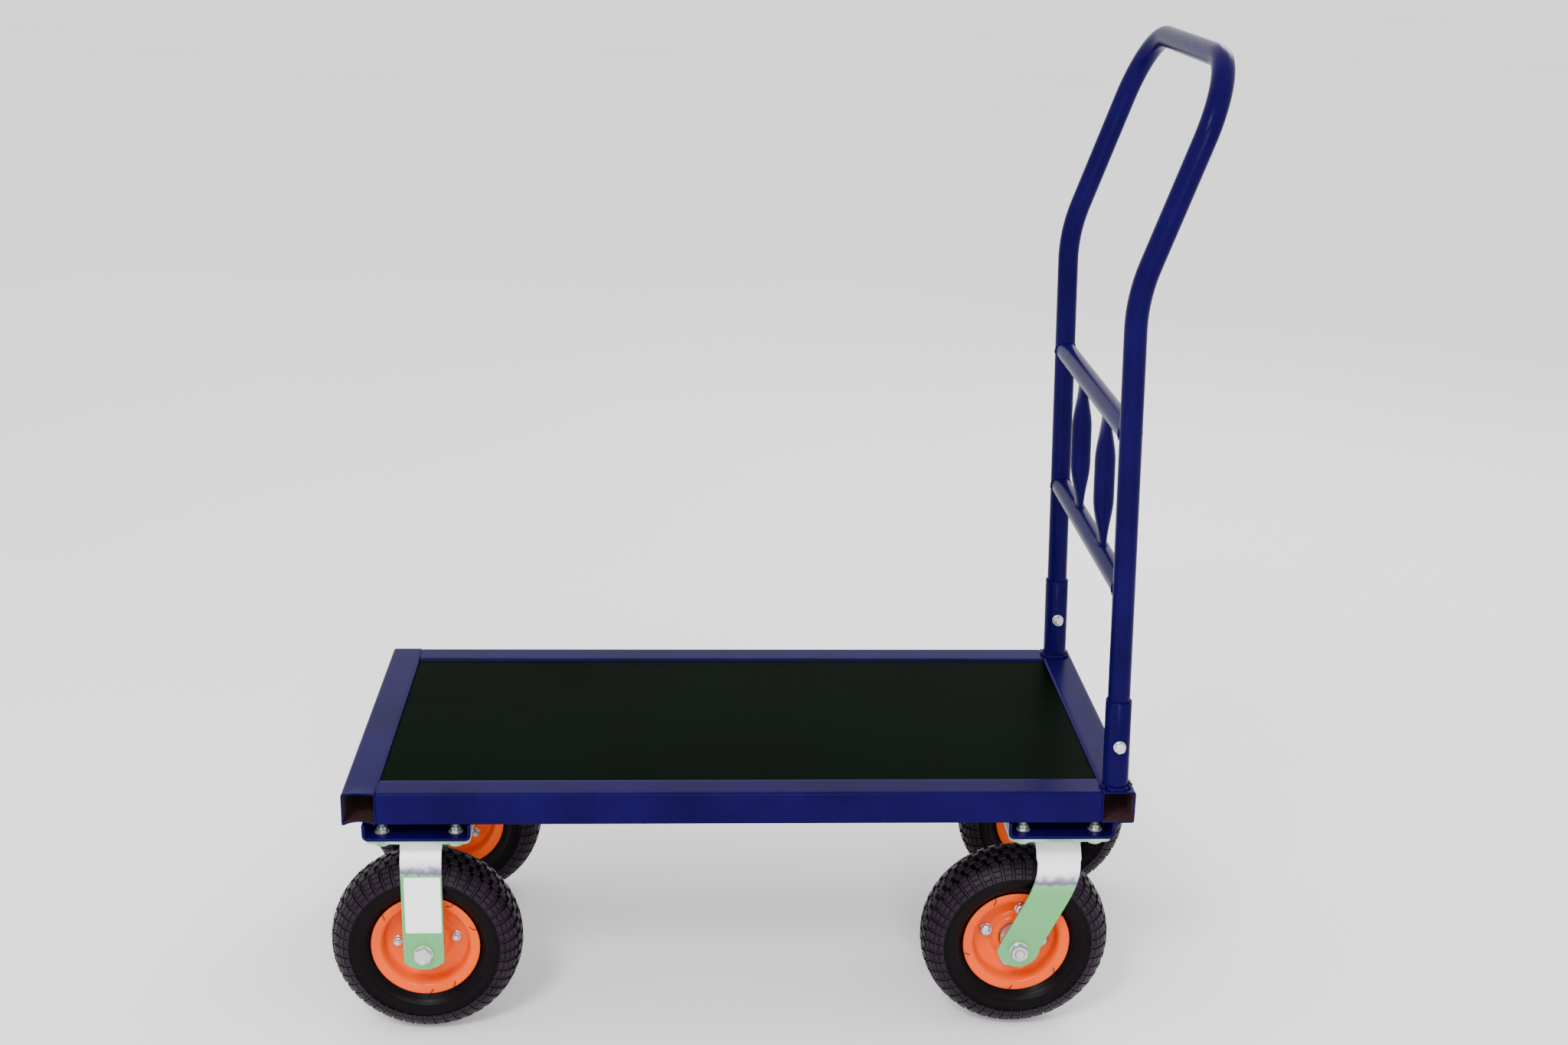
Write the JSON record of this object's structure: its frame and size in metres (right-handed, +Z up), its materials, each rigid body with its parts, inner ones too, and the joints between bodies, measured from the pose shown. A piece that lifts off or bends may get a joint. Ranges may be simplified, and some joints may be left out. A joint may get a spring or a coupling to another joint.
{
  "type": "platform trolley",
  "caption": "Flat load deck in a steel tube frame with an upright push handle at one end, carried on fixed front and swivelling rear pneumatic casters.",
  "frame": {"origin": "on the floor at the centre of the trolley's bounding box", "axes": "+Z up, +X along the deck towards the push handle (the rear), -Y the user's left side when pushing towards -X"},
  "size_m": [1.117, 0.5028, 1.278],
  "materials": {
    "blue_paint": "dark blue powder coat, semi-gloss",
    "deck_film": "film-faced plywood, near black, satin gloss",
    "bright_zinc": "bright zinc plate on steel",
    "tyre_rubber": "black tyre rubber, matt",
    "orange_paint": "orange powder coat, gloss"
  },
  "bodies": {
    "deck_and_handle": {"front_end_tube": "blue_paint", "rear_end_tube": "blue_paint", "left_side_rail": "blue_paint", "right_side_rail": "blue_paint", "left_panel_ledge": "blue_paint", "right_panel_ledge": "blue_paint", "panel_cross_bearer": "blue_paint", "front_caster_channel": "blue_paint", "rear_caster_channel": "blue_paint", "left_handle_socket": "blue_paint", "right_handle_socket": "blue_paint", "handle_tube": "blue_paint", "upper_crossbar": "blue_paint", "lower_crossbar": "blue_paint", "left_baluster": "blue_paint", "right_baluster": "blue_paint", "deck_panel": "deck_film", "left_handle_bolt": "bright_zinc", "right_handle_bolt": "bright_zinc", "left_handle_nut": "bright_zinc", "right_handle_nut": "bright_zinc", "front_left_plate": "bright_zinc", "front_left_fork": "bright_zinc", "front_left_axle_bolt": "bright_zinc", "front_left_axle_nut": "bright_zinc", "front_right_plate": "bright_zinc", "front_right_fork": "bright_zinc", "front_right_axle_bolt": "bright_zinc", "front_right_axle_nut": "bright_zinc", "rear_left_plate": "bright_zinc", "rear_left_race": "bright_zinc", "rear_left_kingpin": "bright_zinc", "rear_right_plate": "bright_zinc", "rear_right_race": "bright_zinc", "rear_right_kingpin": "bright_zinc"},
    "front_left_wheel": {"front_left_tyre": "tyre_rubber", "front_left_outer_rim": "orange_paint", "front_left_inner_rim": "orange_paint", "front_left_hub": "bright_zinc"},
    "front_right_wheel": {"front_right_tyre": "tyre_rubber", "front_right_outer_rim": "orange_paint", "front_right_inner_rim": "orange_paint", "front_right_hub": "bright_zinc"},
    "rear_left_swivel": {"rear_left_fork": "bright_zinc", "rear_left_axle_bolt": "bright_zinc", "rear_left_axle_nut": "bright_zinc"},
    "rear_left_wheel": {"rear_left_tyre": "tyre_rubber", "rear_left_outer_rim": "orange_paint", "rear_left_inner_rim": "orange_paint", "rear_left_hub": "bright_zinc"},
    "rear_right_swivel": {"rear_right_fork": "bright_zinc", "rear_right_axle_bolt": "bright_zinc", "rear_right_axle_nut": "bright_zinc"},
    "rear_right_wheel": {"rear_right_tyre": "tyre_rubber", "rear_right_outer_rim": "orange_paint", "rear_right_inner_rim": "orange_paint", "rear_right_hub": "bright_zinc"}
  },
  "joints": [
    {"name": "rear_left_swivel_turn", "type": "hinge", "parent": "deck_and_handle", "child": "rear_left_swivel", "pos_m": [0.386, -0.182, 0.28], "axis": [0, 0, 1], "continuous": true},
    {"name": "rear_right_swivel_turn", "type": "hinge", "parent": "deck_and_handle", "child": "rear_right_swivel", "pos_m": [0.386, 0.182, 0.28], "axis": [0, 0, 1], "continuous": true},
    {"name": "front_left_wheel_turn", "type": "hinge", "parent": "deck_and_handle", "child": "front_left_wheel", "pos_m": [-0.434, -0.182, 0.1245], "axis": [0, 1, 0], "continuous": true},
    {"name": "front_right_wheel_turn", "type": "hinge", "parent": "deck_and_handle", "child": "front_right_wheel", "pos_m": [-0.434, 0.182, 0.1245], "axis": [0, 1, 0], "continuous": true},
    {"name": "rear_left_wheel_turn", "type": "hinge", "parent": "rear_left_swivel", "child": "rear_left_wheel", "pos_m": [0.338, -0.182, 0.1245], "axis": [0, 1, 0], "continuous": true},
    {"name": "rear_right_wheel_turn", "type": "hinge", "parent": "rear_right_swivel", "child": "rear_right_wheel", "pos_m": [0.434, 0.182, 0.1245], "axis": [0, 1, 0], "continuous": true}
  ]
}
